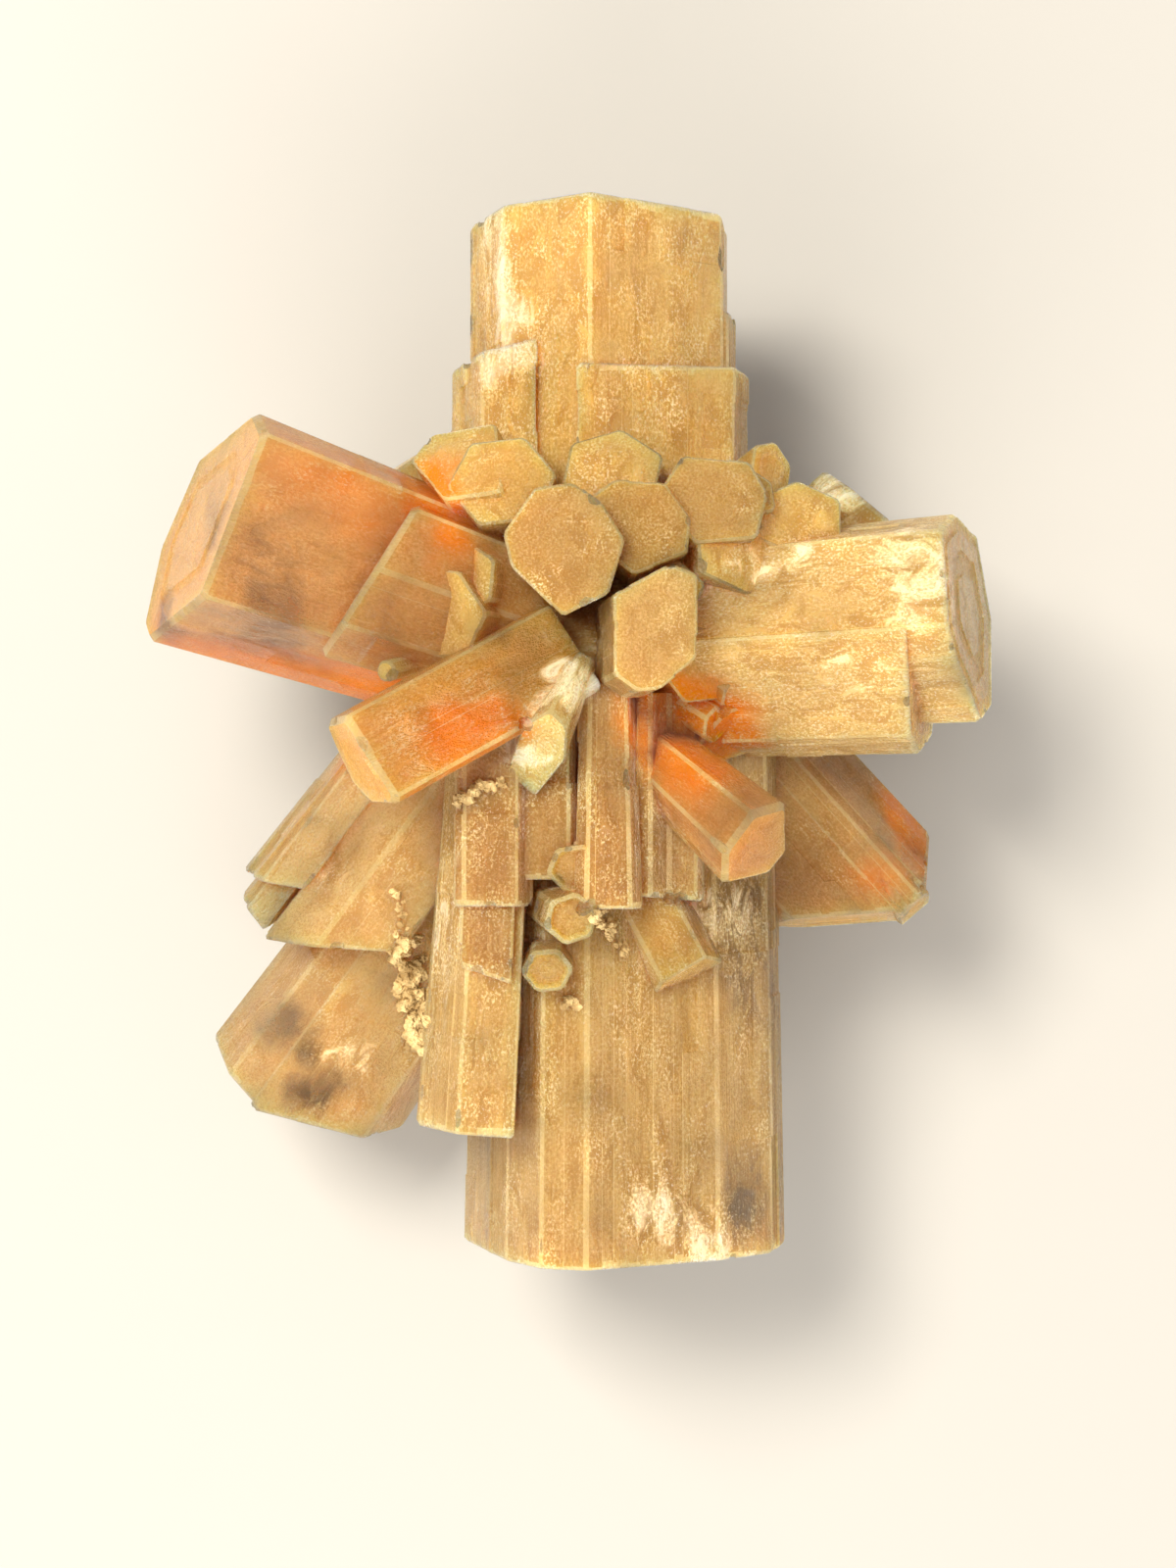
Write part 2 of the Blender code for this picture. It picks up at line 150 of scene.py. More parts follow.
# The crown that points straight up, and the two orange prisms that lean out of it.
CROWN = (
    Crystal("crown_left", 270, 87, (-1.2, 4.4, 0), (
        Growth(((-2.9, 0.7), (-1.3, 3.0), (0.5, 3.2), (1.9, 2.2), (3.0, 0.4), (2.2, -2.2), (0.0, -3.3),
                (-2.5, -0.9)),
               11.2),
    )),
    Crystal("crown_right", 20, 81, (1.5, -0.6, 0), (
        Growth(((-2.0, 1.6), (0.8, 3.1), (2.1, 2.6), (2.1, -1.5), (0.2, -3.0), (-0.9, -3.1),
                (-2.0, -2.3)),
               11.7),
    )),
    Crystal("crown_middle", 60, 84, (1.7, 4.3, 0), (
        Growth(((-2.4, 1.0), (-0.9, 2.1), (1.5, 2.0), (2.8, 0.2), (2.6, -1.6), (0.0, -2.6),
                (-1.6, -1.4)),
               9.9),
    )),
    Crystal("crown_back_right", 50, 80, (4.0, 5.2, 0), (
        Growth(((-1.4, 0.6), (-0.4, 2.1), (2.9, 1.8), (3.8, 0.2), (3.2, -2.0), (0.1, -2.3),
                (-1.6, -0.3)),
               9.3),
        Growth(((2.6, 2.0), (4.1, 1.0), (4.3, -0.4), (3.0, -1.0)), 8.6),
    )),
    Crystal("crown_back_left", 120, 56, (-3.9, 4.1, 0), (
        Growth(((-2.6, 0.2), (-1.8, 1.7), (1.5, 2.3), (2.6, -1.8), (-0.4, -2.2)), 8.7),
    )),
    Crystal("clear_prism", 245, 25, (-0.4, -1.6, 7.6), (
        Growth(((-1.2, 0.4), (-0.3, 2.0), (0.8, 1.8), (1.4, 0.2), (0.8, -2.6), (-1.0, -2.4)),
               5.0, (0.2, -0.5), 0, 0.6),
    )),
    Crystal("orange_left", 209.5, 20, (-0.5, -0.5, 3.0), (
        Growth(((-2.6, 1.4), (-2.2, 4.5), (2.4, 5.3), (2.7, 4.5), (2.1, 1.6), (0.6, 0.4), (-1.1, 0.8)),
               14.0, (0, 0), 2),
    )),
    Crystal("orange_right", -43, 33, (2.4, -5.8, 4.0), (
        Growth(((1.5, 2.4), (3.0, 0.7), (1.4, -2.5), (-0.1, -2.7), (-2.0, -0.2), (-0.8, 1.9)),
               9.0, (0, 0), -5.0, 0.6),
    )),
    Crystal("amber_wedge", -26, 16, (1.0, -1.6, 2.4), (Growth(hexagon(2.2, 20), 7.8, (0.5, -0.4)),)),
    Crystal("tooth", 200, 62, (-8.6, -1.5, 5.0), (Growth(hexagon(0.6, 0), 3.0),)),
    Crystal("crown_front_chip", 300, 80, (3.4, 3.0, 2), (Growth(hexagon(1.4, 10, 1.3), 6.6, (0, -0.3)),)),
    Crystal("crown_left_chip", 180, 72, (-4.4, 2.6, 1), (Growth(hexagon(2.0, 25, 1.2), 6.4, (0.4, 0)),)),
    Crystal("crown_right_chip", 35, 50, (6.0, 6.0, 0), (Growth(hexagon(1.5, 15), 6.0, (0.3, 0)),)),
    Crystal("crown_gap_upper_left", 110, 78, (-3.6, 5.6, 0), (
        Growth(hexagon(2.3, 5, 1.2), 8.6, (0.1, 0.2)),
    )),
    Crystal("crown_gap_upper", 80, 82, (1.0, 6.6, 0), (Growth(hexagon(2.2, 20, 1.2), 8.7, (0, -0.2)),)),
    Crystal("crown_gap_right", 20, 75, (5.6, 3.4, 0), (Growth(hexagon(2.4, 35, 1.2), 8.4, (-0.2, 0.1)),)),
    Crystal("crown_gap_front_right", -40, 70, (3.8, 0.0, 0), (Growth(hexagon(2.2, 10), 7.4, (0.2, 0.1)),)),
    Crystal("crown_gap_left", 175, 70, (-4.6, 0.6, 0), (Growth(hexagon(2.4, 0, 1.1), 8.0, (0.1, 0.3)),)),
    Crystal("crown_gap_far_right", 30, 62, (7.0, 3.6, 0), (Growth(hexagon(2.0, 25, 1.2), 8.2, (0.3, 0)),)),
)

# Short stepped growths on the upper side of the lower arm.
STEPS = (
    Crystal("left_block", 270, 0, (-4.9, 0, 3.0), (
        Growth(((-1.8, -1.0), (-1.7, 4.4), (-1.2, 5.1), (1.5, 5.3), (2.2, 3.8), (2.2, -1.0)),
               13.5, (0, 0), 4),
    )),
    Crystal("left_low_block", 268, 0, (-4.3, 0, 3.0), (
        Growth(((-1.6, -1.0), (-1.5, 4.3), (1.2, 4.7), (1.4, -1.0)), 17.6, (0.3, -0.15), 5),
    )),
    Crystal("inner_block", 270, 0, (-2.1, 0, 3.0), (
        Growth(((-1.5, -1.0), (-1.4, 4.4), (1.2, 4.8), (1.6, 4.0), (1.6, -1.0)), 12.2, (0, 0), 3),
    )),
    Crystal("middle_block", 270, 0, (0.9, 0, 3.0), (
        Growth(((-1.7, -1.0), (-1.7, 5.2), (-1.0, 5.8), (1.2, 5.6), (1.8, 4.6), (1.9, -1.0)),
               13.6, (0, 0), 2.6, 0.8),
    )),
    Crystal("right_block", 270, 0, (4.2, 0, 2.5), (
        Growth(((-2.0, -1.0), (-1.9, 4.4), (-1.1, 4.4), (-0.2, 3.4), (1.2, 3.3), (1.6, 2.6),
                (1.6, -1.0)),
               13.2, (0.1, 0), 3),
    )),
    Crystal("leaning_stub", -62, 5, (2.2, -12.4, 2.9), (
        Growth(((-2.0, 0.5), (-1.0, 2.6), (1.5, 3.0), (2.2, 0.5), (0.0, -1.5)), 5.8, (0, -0.2), 0.8),
    )),
    Crystal("small_upper_stub", 270, 85, (-0.6, -11.1, 2), (Growth(hexagon(1.3, 10, 1.15), 6.4),)),
    Crystal("small_middle_stub", -30, 76, (-2.3, -13.2, 2), (Growth(hexagon(1.35, 20, 1.05), 7.2),)),
    Crystal("small_lower_stub", 265, 80, (-1.9, -15.6, 2), (Growth(hexagon(1.2, 5, 1.1), 6.1),)),
)

# The core, and the crystals underneath that the cluster stands on.
UNDERSIDE = (
    Crystal("core", 0, 90, (0, 0, 0), (Growth(hexagon(5.8, 15), 1.0, (0, 0), -7.0, 0.9),)),
    Crystal("foot", 270, -90, (0.3, -2.0, 0), (
        Growth(hexagon(6.3, 12, 1.1), -FLOOR, (0, 0), 0, 0.8),
        Growth(((-5.5, 4.6), (-1.0, 6.4), (2.4, 5.0), (0.0, 0.0)), 13.4, (0, 0), 0, 0.8),
    )),
    Crystal("under_left", 158, -40, (0, 0, 0), (
        Growth(hexagon(4.7, 8), 17.6, (0, 0), 0, 0.8),
        Growth(((1.0, 4.6), (4.9, 2.2), (4.6, -2.6), (0.5, -4.0)), 15.2, (0, 0), 0, 0.8),
    )),
    Crystal("under_back", 96, -42, (0, 0, 0), (
        Growth(hexagon(5.0, 22, 1.1), 17.6, (0, 0), 0, 0.8),
        Growth(((-1.0, 5.2), (-5.6, 2.6), (-4.0, -3.4), (0.0, -2.0)), 14.0, (0, 0), 0, 0.8),
    )),
    Crystal("under_right", 4, -34, (0, 0, 0), (
        Growth(hexagon(4.7, 0), 18.6, (0, 0), 0, 0.8),
        Growth(((-0.5, 4.4), (-4.9, 0.4), (-2.4, -4.4), (1.5, -2.0)), 15.4, (0, 0), 0, 0.8),
    )),
    Crystal("under_front", 262, -38, (0, 0, 0), (Growth(hexagon(5.2, 14), 17.4, (0, 0), 0, 0.8),)),
)

DRUSE = 90                      # how many little prisms there are
DRUSE_SIZES = (0.5, 1.3)        # from the middle to a corner, in mm
DRUSE_STRETCH = (0.8, 1.2)      # of the section, along u
DRUSE_REACH = (6.4, 9.6)        # from the root to the end, in mm
DRUSE_ROOTS = (-2, 2)           # mm from the core, each way
DRUSE_SLOPES = (-0.3, 0.3)
DRUSE_ELEVATIONS = (-75, 50)


def druse():
    """Little prisms that fill the corners between the big ones, close round the core."""
    pick = random.Random(11)
    for number in range(DRUSE):
        size = pick.uniform(*DRUSE_SIZES)
        root = tuple(pick.uniform(*DRUSE_ROOTS) for _ in range(3))
        outline = hexagon(size, pick.uniform(0, 60), pick.uniform(*DRUSE_STRETCH))
        end = pick.uniform(*DRUSE_REACH)
        slope = (pick.uniform(*DRUSE_SLOPES), pick.uniform(*DRUSE_SLOPES))
        azimuth = pick.uniform(0, 360)
        elevation = pick.uniform(*DRUSE_ELEVATIONS)
        yield Crystal(f"druse_{number}", azimuth, elevation, root, (Growth(outline, end, slope),))


PLAIN_CRYSTALS = ARMS + CROWN + STEPS + UNDERSIDE
CRYSTALS = PLAIN_CRYSTALS + tuple(druse())

# How a crystal's surface is worn, in mm. flute: depth of the plates missing from its sides; strip: width
# of the widest strips that the sides are made of; breaks: at how many places along it a plate may end;
# plates: how many are missing; rim: width of the worn edge of its end; jag: how uneven that edge is;
# terrace: height of the steps on its end; hollow: how far the middle of the end is sunk; chips: how many
# are broken out of its edges; drawn: how dense its grain is along it, where less draws the grain out.
Wear = namedtuple("Wear", "flute strip breaks plates rim jag terrace hollow chips drawn")
STRIATED = Wear(0.12, 0.9, 9, 30, 0.16, 0.35, 0.06, 0.0, 10, 0.7)
STEPPED = Wear(0.12, 0.9, 7, 20, 0.16, 0.2, 0.05, 0.0, 9, 0.8)
SMOOTH = Wear(0.03, 1.4, 2, 3, 0.28, 0.1, 0.02, 0.0, 5, 0.6)
CROWNED = Wear(0.08, 0.7, 3, 5, 0.14, 0.1, 0.03, 0.06, 3, 0.8)
SMALL = Wear(0.04, 0.7, 1, 3, 0.12, 0.08, 0.04, 0.0, 2, 0.9)
SUNKEN = Wear(0.04, 0.6, 0, 0, 0.2, 0.08, 0.08, 0.35, 3, 0.9)

# Colours of the stone, linear.
HONEY = (0.81, 0.51, 0.155)
CREAM = (0.91, 0.61, 0.23)
PEACH = (0.93, 0.50, 0.14)
AMBER = (0.90, 0.47, 0.09)
BURNT = (0.76, 0.38, 0.09)
PALE_STONE = (0.96, 0.74, 0.40)
PEACH_CREAM = (0.95, 0.63, 0.26)
DULL_HONEY = (0.58, 0.35, 0.105)
TAN = (0.67, 0.43, 0.15)
STEP_TAN = (0.56, 0.32, 0.11)
PINK_TAN = (0.83, 0.50, 0.17)

# Look of a crystal. stone: its colour; frost: how etched it is; clear: how far one sees into it; wear: how
# its surface is worn; lined: how strong the lines along it are.
Look = namedtuple("Look", "stone frost clear wear lined", defaults=(0.0,))
LOOKS = {
    "upper_arm": Look(HONEY, 0.45, 0.06, STRIATED, 0.14),
    "left_arm": Look(PEACH, 0.05, 0.48, SMOOTH),
    "right_arm": Look(CREAM, 0.65, 0.2, STEPPED),
    "lower_arm": Look(TAN, 0.3, 0.15, STRIATED, 0.32),
    "lower_arm_side": Look(TAN, 0.35, 0.08, STRIATED, 0.32),
    "near_left_prism": Look(PEACH_CREAM, 0.25, 0.38, STEPPED),
    "far_left_prism": Look(PEACH_CREAM, 0.3, 0.42, STEPPED),
    "right_back_prism": Look(PINK_TAN, 0.1, 0.5, STEPPED),
    "upper_right_prism": Look(CREAM, 0.9, 0.4, STEPPED),
    "upper_left_bit": Look(CREAM, 0.2, 0.4, SMALL),
    "crown_left": Look(DULL_HONEY, 0.2, 0.3, CROWNED),
    "crown_right": Look(TAN, 0.25, 0.22, CROWNED),
    "crown_middle": Look(DULL_HONEY, 0.1, 0.3, CROWNED),
    "crown_back_right": Look(DULL_HONEY, 0.15, 0.3, CROWNED),
    "crown_back_left": Look(HONEY, 0.4, 0.3, SMALL),
    "clear_prism": Look(CREAM, 0.75, 0.45, SMALL),
    "orange_left": Look(AMBER, 0.2, 0.42, SMOOTH),
    "orange_right": Look(BURNT, 0.1, 0.45, SMOOTH),
    "amber_wedge": Look(AMBER, 0.1, 0.4, SMALL),
    "small_upper_stub": Look(TAN, 0.2, 0.2, SUNKEN),
    "small_middle_stub": Look(TAN, 0.3, 0.2, SUNKEN),
    "small_lower_stub": Look(TAN, 0.2, 0.3, SUNKEN),
}
STEP_LOOK = Look(STEP_TAN, 0.35, 0.12, STEPPED, 0.25)
SMALL_LOOK = Look(HONEY, 0.3, 0.4, SMALL)
UNDER_LOOK = Look(HONEY, 0.15, 0.35, STEPPED, 0.15)
CHIP_LOOK = Look(PALE_STONE, 0.5, 0.5, SMALL)


def look_of(crystal):
    if crystal.name in LOOKS:
        return LOOKS[crystal.name]
    if crystal in UNDERSIDE:
        return UNDER_LOOK
    return STEP_LOOK if crystal.name.endswith("block") else SMALL_LOOK


def frame_of(crystal):
    """Unit vectors u, v, w of a crystal."""
    turn = math.radians(crystal.azimuth)
    rise = math.radians(crystal.elevation)
    w = Vector((math.cos(rise) * math.cos(turn), math.cos(rise) * math.sin(turn), math.sin(rise)))
    upwards = Vector((0, 1, 0)) if abs(crystal.elevation) > STANDING else Vector((0, 0, 1))
    u = upwards.cross(w).normalized()
    return u, w.cross(u), w


def on_growth(growth, point, share):
    """Place (u, v, w) at a share of the way along a growth, for an outline point."""
    u, v = point
    reach = growth.end + growth.slope[0] * u + growth.slope[1] * v
    size = growth.taper + (1 - growth.taper) * share
    return Vector((u * size, v * size, growth.start + (reach - growth.start) * share))


def placed(crystal, local):
    """A crystal's own (u, v, w) as a place in mm from the core."""
    u, v, w = frame_of(crystal)
    return Vector(crystal.root) + u * local.x + v * local.y + w * local.z


def core_place():
    """The middle of the core in the row's frame, from the box of the plain prisms, in metres."""
    corners = [
        placed(crystal, on_growth(growth, point, share))
        for crystal in PLAIN_CRYSTALS
        for growth in crystal.growths
        for point in growth.outline
        for share in (0, 1)
    ]
    low = Vector([min(corner[axis] for corner in corners) for axis in range(3)])
    return Vector(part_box("aragonite_cluster")[0]) - low * MM


CORE = core_place()

# Strips along the side of a growth. ends: the two points (u, v) on the outline; inward: unit vector (u, v).
Strip = namedtuple("Strip", "ends inward")
GAP = 0.02          # half the width of the step between two strips, in mm
LEDGE = 3 * GAP     # length of the step where plates end
BLUNT = 0.14        # how far a corner is worn back along each side, in mm, up to a fifth of the side
NARROW = 0.4        # narrowest strips, as a share of the widest, before UNEVEN
UNEVEN = 1.5        # a power that makes the narrow ones narrower and more common
ROLLING = 0.25      # how deep a strip may lie where no plate is missing, as a share of the flute
SHALLOW = 0.5       # how deep the shallowest missing plate is, as a share of the flute
PLATES_ROUND = 8    # a plate is up to one in this many of the strips
PLATE_SPAN = 4      # and runs on over up to this many breaks
FIRST_BREAK = 0.2   # where the breaks start, as a share of the length
BREAKS_SPAN = 0.72  # and how far on they go
INNERMOST = 0.35    # the terraces on an end stop at this share of its size
TREADS = (0.1, 0.35)        # how wide a terrace's tread is, as a share of the end
RING_SPACING = 1.0  # between the rings along a crystal's sides, in mm
RIDGED = 0.25       # share of the lines between strips that are tagged as rims, where a highlight is painted
TIGHT = 0.03        # no ring is added nearer than this to another, as a share of the length
SIDE, RIM, CAP = 0, 0.5, 1  # what part of a crystal a face is


def strips_of(outline, wear, pick):
    """The outline's sides cut in strips of uneven width, with its corners worn off."""
    points = [Vector(point) for point in outline]
    middle = sum(points, Vector((0, 0))) / len(points)
    strips = []
    for a, b in zip(points, points[1:] + points[:1]):
        along = b - a
        length = along.length
        along /= length
        inward = Vector((-along.y, along.x))
        if inward.dot(middle - a) < 0:
            inward = -inward
        blunt = min(BLUNT, length / 5)
        cuts = [blunt]
        while cuts[-1] + wear.strip < length - blunt:
            cuts.append(cuts[-1] + wear.strip * pick.uniform(NARROW, 1.0) ** UNEVEN)
        if len(cuts) > 1:
            cuts.pop()
        cuts.append(length - blunt)
        for near, far in zip(cuts, cuts[1:]):
            strips.append(Strip((a + along * (near + GAP), a + along * (far - GAP)), inward))
    return strips, middle


def strip_depths(count, wear, pick):
    """How deep each strip lies in each stretch between two breaks: deeper where a plate is missing."""
    whole = [wear.flute * ROLLING * pick.random() for _ in range(count)]
    depths = [list(whole) for _ in range(wear.breaks + 1)]
    for _ in range(wear.plates):
        first = pick.randrange(count)
        last = first + pick.randint(1, max(1, count // PLATES_ROUND))
        begin = pick.randrange(len(depths))
        depth = wear.flute * pick.uniform(SHALLOW, 1.0)
        for stretch in depths[begin:begin + pick.randint(1, PLATE_SPAN)]:
            for strip in range(first, last):
                stretch[strip % count] = depth
    return depths


def rings_of(growth, wear, pick):
    """Rings of places (u, v, w) from the inner end to the middle of the outer end.

    Also how many of them are on the sides, and whether the outline turns a corner after each strip.
    """
    strips, middle = strips_of(growth.outline, wear, pick)
    radius = sum((strip.ends[0] - middle).length for strip in strips) / len(strips)
    length = growth.end - growth.start
    depths = strip_depths(len(strips), wear, pick)
    rims = [1 - (wear.rim + wear.jag * pick.random() ** 2) / length for _ in strips]
    breaks = [FIRST_BREAK + BREAKS_SPAN * (i + pick.uniform(0.1, 0.9)) / wear.breaks
              for i in range(wear.breaks)]
    evenly = [i * RING_SPACING / length for i in range(1, math.ceil(length / RING_SPACING))]
    plain = [share for share in evenly
             if share < min(rims) - TIGHT and all(abs(share - b) > TIGHT for b in breaks)]

    def outline_at(stretch):
        return [end + strip.inward * depth
                for strip, depth in zip(strips, depths[stretch])
                for end in strip.ends]

    rings = [[on_growth(growth, point, 0) for point in outline_at(0)]]
    stretch = 0
    for share in sorted(breaks + plain):
        rings.append([on_growth(growth, point, share) for point in outline_at(stretch)])
        if share in breaks:
            stretch += 1
            below = share + LEDGE / length
            rings.append([on_growth(growth, point, below) for point in outline_at(stretch)])
    outer = outline_at(stretch)
    rings.append([on_growth(growth, point, rims[i // 2]) for i, point in enumerate(outer)])
    sides = len(rings)
    size = 1 - wear.rim / radius
    drop = 0.0
    step = wear.hollow or wear.terrace
    while size > INNERMOST:
        for share in (drop, drop + step):
            shrunk = [middle + (point - middle) * size for point in outer]
            rings.append([on_growth(growth, point, 1 - share / length) for point in shrunk])
            size -= (GAP + step / 2) / radius
        drop += step
        step = wear.terrace * (1 if drop < wear.terrace else pick.choice((-1, 1)))
        size -= pick.uniform(*TREADS)
    turns = [strip.inward != following.inward
             for strip, following in zip(strips, strips[1:] + strips[:1])]
    return rings, sides, turns


SHIFTS = (-90, 90)  # mm by which the grain is moved, so that no two growths have the same


class Skin:
    """A mesh being built, whose corners keep their place on their crystal's skin and their look.

    A corner's place on the skin is how far round and along the crystal it is, or (u, v) on the end, in mm.
    """

    def __init__(self, look, pick):
        self.look = look
        self.shift = Vector((pick.uniform(*SHIFTS), pick.uniform(*SHIFTS), 0))
        self.shape = bmesh.new()
        self.skin = self.shape.loops.layers.float_vector.new("skin")
        self.traits = self.shape.loops.layers.float_vector.new("traits")
        self.stone = self.shape.loops.layers.float_color.new("stone")

    def tag(self, face, places, part):
        for loop, place in zip(face.loops, places):
            loop[self.skin] = place + self.shift
            loop[self.traits] = (part, self.look.frost, self.look.clear)
            loop[self.stone] = (*self.look.stone, self.look.lined)

    def finished(self, name):
        bmesh.ops.recalc_face_normals(self.shape, faces=self.shape.faces)
        mesh = bpy.data.meshes.new(name)
        self.shape.to_mesh(mesh)
        self.shape.free()
        return bpy.data.objects.new(name, mesh)


def flat(ring):
    return [Vector((place.x, place.y, 0)) for place in ring]


def grown(crystal, growth, number):
    """One growth as a closed object."""
    look = look_of(crystal)
    pick = random.Random(f"{crystal.name}{number}")
    rings, sides, turns = rings_of(growth, look.wear, pick)
    skin = Skin(look, pick)
    loops = [[skin.shape.verts.new(CORE + placed(crystal, place) * MM) for place in ring] for ring in rings]
    count = len(loops[0])
    highlighted_ridges = [pick.random() < RIDGED for _ in range(count)]
    last = rings[sides - 1]
    widths = [(last[(i + 1) % count] - last[i]).xy.length for i in range(count)]
    around = [sum(widths[:i]) for i in range(count + 1)]
    skin.tag(skin.shape.faces.new(loops[0][::-1]), flat(rings[0][::-1]), SIDE)
    bands = []
    for row in range(len(rings) - 1):
        for i in range(count):
            j = (i + 1) % count
            corners = (loops[row][i], loops[row][j], loops[row + 1][j], loops[row + 1][i])
            bands.append(skin.shape.faces.new(corners))
            inner, outer = rings[row], rings[row + 1]
            if row >= sides:
                skin.tag(bands[-1], flat((inner[i], inner[j], outer[j], outer[i])), CAP)
                continue
            places = [Vector((around[k], ring[k % count].z * look.wear.drawn, 0))
                      for ring, k in ((inner, i), (inner, i + 1), (outer, i + 1), (outer, i))]
            # The end's rim and some lines between strips are tagged RIM; the material paints a highlight on
            # them
            gets_rim_highlight = row == sides - 1 or (i % 2 and (turns[i // 2] or highlighted_ridges[i // 2]))
            skin.tag(bands[-1], places, RIM if gets_rim_highlight else SIDE)
    skin.tag(skin.shape.faces.new(loops[-1]), flat(rings[-1]), CAP)
    bmesh.ops.triangulate(skin.shape, faces=bands)
    return skin.finished(crystal.name)


CHIP_SIZES = (0.15, 0.5)    # radius in mm
CHIPS_ON_RIM = 0.6          # share of the chips on the rim of the end; the others are on long edges
ON_EDGE = 0.7               # how far down a long edge they reach, as a share of it,
THINNER = 0.7               # how wide they are there, as a share of CHIP_SIZES, and
LONGER = (1, 4)             # by how much they are stretched along it


def chips(crystal, growth, number):
    """Rough lumps where pieces are broken out of a growth's edges."""
    pick = random.Random(f"{crystal.name}{number}chips")
    points = [Vector(point) for point in growth.outline]
    u, v, w = frame_of(crystal)
    for _ in range(look_of(crystal).wear.chips):
        corner = pick.randrange(len(points))
        size = pick.uniform(*CHIP_SIZES)
        stretch = 1.0
        if pick.random() < CHIPS_ON_RIM:
            point = points[corner - 1].lerp(points[corner], pick.random())
            share = 1.0
        else:
            point = points[corner]
            share = 1 - ON_EDGE * pick.random() ** 2
            stretch = pick.uniform(*LONGER)
            size *= THINNER
        axes = Matrix((u, v, w)).transposed().to_4x4()
        angle = pick.uniform(0, math.tau)
        turned = Matrix.Rotation(angle, 4, Vector([pick.uniform(-1, 1) for _ in range(3)]))
        place = Matrix.Translation(CORE + placed(crystal, on_growth(growth, point, share)) * MM)
        scale = Matrix.Diagonal((size * MM, size * MM, size * stretch * MM, 1))
        skin = Skin(CHIP_LOOK, pick)
        matrix = place @ axes @ scale @ turned
        bmesh.ops.create_icosphere(skin.shape, subdivisions=1, radius=1, matrix=matrix)
        for face in skin.shape.faces:
            skin.tag(face, [vert.co / MM for vert in face.verts], SIDE)
        yield skin.finished("chip")


def pocket_faces(shape):
    """Faces of the closed pockets between the growths: every loose shell but the largest."""
    shells = []
    left = set(shape.faces)
    while left:
        shell = [left.pop()]
        for face in shell:
            near = {other for edge in face.edges for other in edge.link_faces} & left
            left -= near
            shell.extend(near)
        shells.append(shell)
    shells.sort(key=len)
    return [face for shell in shells[:-1] for face in shell]


def combine(cluster, others, operation):
    """Adds the others to the cluster's mesh or cuts them out of it."""
    used = bpy.data.collections.new("used")
    bpy.context.scene.collection.children.link(used)
    for other in others:
        used.objects.link(other)
    boolean = cluster.modifiers.new("combine", "BOOLEAN")
    boolean.operation = operation
    boolean.operand_type = "COLLECTION"
    boolean.collection = used
    boolean.solver = "MANIFOLD"
    mesh = bpy.data.meshes.new_from_object(cluster.evaluated_get(bpy.context.evaluated_depsgraph_get()))
    cluster.modifiers.remove(boolean)
    for other in others:
        bpy.data.objects.remove(other)
    bpy.data.collections.remove(used)
    cluster.data = mesh


def fused_cluster():
    """All the growths as one closed mesh, with its edges chipped."""
    growths = [(crystal, growth, number)
               for crystal in CRYSTALS
               for number, growth in enumerate(crystal.growths)]
    cluster, *others = [grown(*growth) for growth in growths]
    cluster.name = "crystals"
    bpy.context.scene.collection.objects.link(cluster)
    combine(cluster, others, "UNION")
    combine(cluster, [chip for growth in growths for chip in chips(*growth)], "DIFFERENCE")
    shape = bmesh.new()
    shape.from_mesh(cluster.data)
    bmesh.ops.dissolve_degenerate(shape, dist=TINY, edges=shape.edges)
    bmesh.ops.delete(shape, geom=pocket_faces(shape), context="FACES")
    bmesh.ops.delete(shape, geom=[edge for edge in shape.edges if edge.is_wire], context="EDGES")
    bmesh.ops.holes_fill(shape, edges=[edge for edge in shape.edges if edge.is_boundary])
    shape.to_mesh(cluster.data)
    shape.free()
    return cluster


class Wire:
    """A node's output in a material's sums: each operator adds the Math node that works it out."""

    def __init__(self, sheet, socket):
        self.sheet = sheet
        self.socket = socket

    def __add__(self, other):
        return self.sheet.math("ADD", self, other)

    def __sub__(self, other):
        return self.sheet.math("SUBTRACT", self, other)

    def __rsub__(self, other):
        return self.sheet.math("SUBTRACT", other, self)

    def __mul__(self, other):
        return self.sheet.math("MULTIPLY", self, other)

    def __abs__(self):
        return self.sheet.math("ABSOLUTE", self, 0)

    __radd__ = __add__
    __rmul__ = __mul__

    def clamped(self):
        return self.sheet.math("ADD", self, 0.0, clamp=True)

    def step(self, low, high):
        """0 below low and 1 above high, eased between them."""
        return self.sheet.node("ShaderNodeMapRange", {"interpolation_type": "SMOOTHSTEP"},
                               {"Value": self, "From Min": low, "From Max": high})


COLOUR, VECTOR, ALPHA = 0, 1, 3     # outputs of an Attribute node
OBJECT = 3                          # output of a Texture Coordinate node


